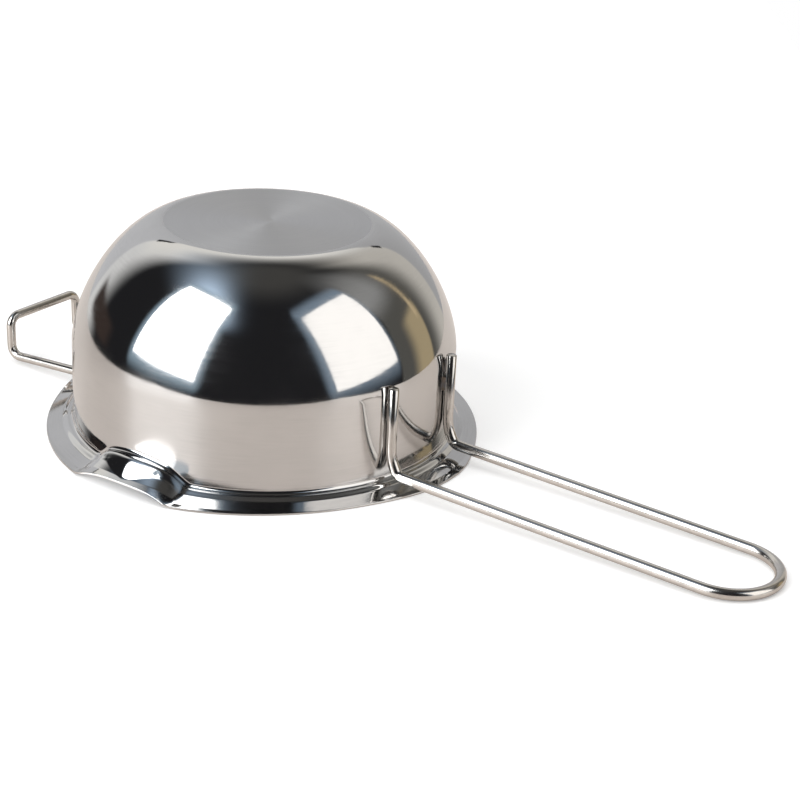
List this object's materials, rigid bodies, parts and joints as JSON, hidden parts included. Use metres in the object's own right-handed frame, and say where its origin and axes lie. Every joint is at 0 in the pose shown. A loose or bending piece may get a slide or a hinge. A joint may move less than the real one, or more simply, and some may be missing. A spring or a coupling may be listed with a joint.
{
  "type": "wax melting pot",
  "caption": "Drawn steel bowl with a flared rim, two pouring lips, a long wire handle and a wire rest hook, stood upside down on its rim.",
  "frame": {"origin": "centre of the rim plane, on the bowl's axis", "axes": "+Z along the bowl's axis from the rim plane to the flat base, +X along the long handle, so the part stands upside down on its rim and the pouring lips face -Y and +Y"},
  "size_m": [0.3236, 0.16, 0.078],
  "materials": {
    "bowl_steel": "polished stainless steel with a turned, brushed base",
    "wire_steel": "polished stainless steel wire",
    "weld_steel": "dull, slightly heat-tinted weld steel"
  },
  "bodies": {
    "root": {"pot_bowl": "bowl_steel", "long_handle": "wire_steel", "rest_hook": "wire_steel", "handle_weld_1": "weld_steel", "handle_weld_2": "weld_steel", "handle_weld_3": "weld_steel", "handle_weld_4": "weld_steel", "hook_weld_1": "weld_steel", "hook_weld_2": "weld_steel", "hook_weld_3": "weld_steel", "hook_weld_4": "weld_steel"}
  },
  "joints": []
}
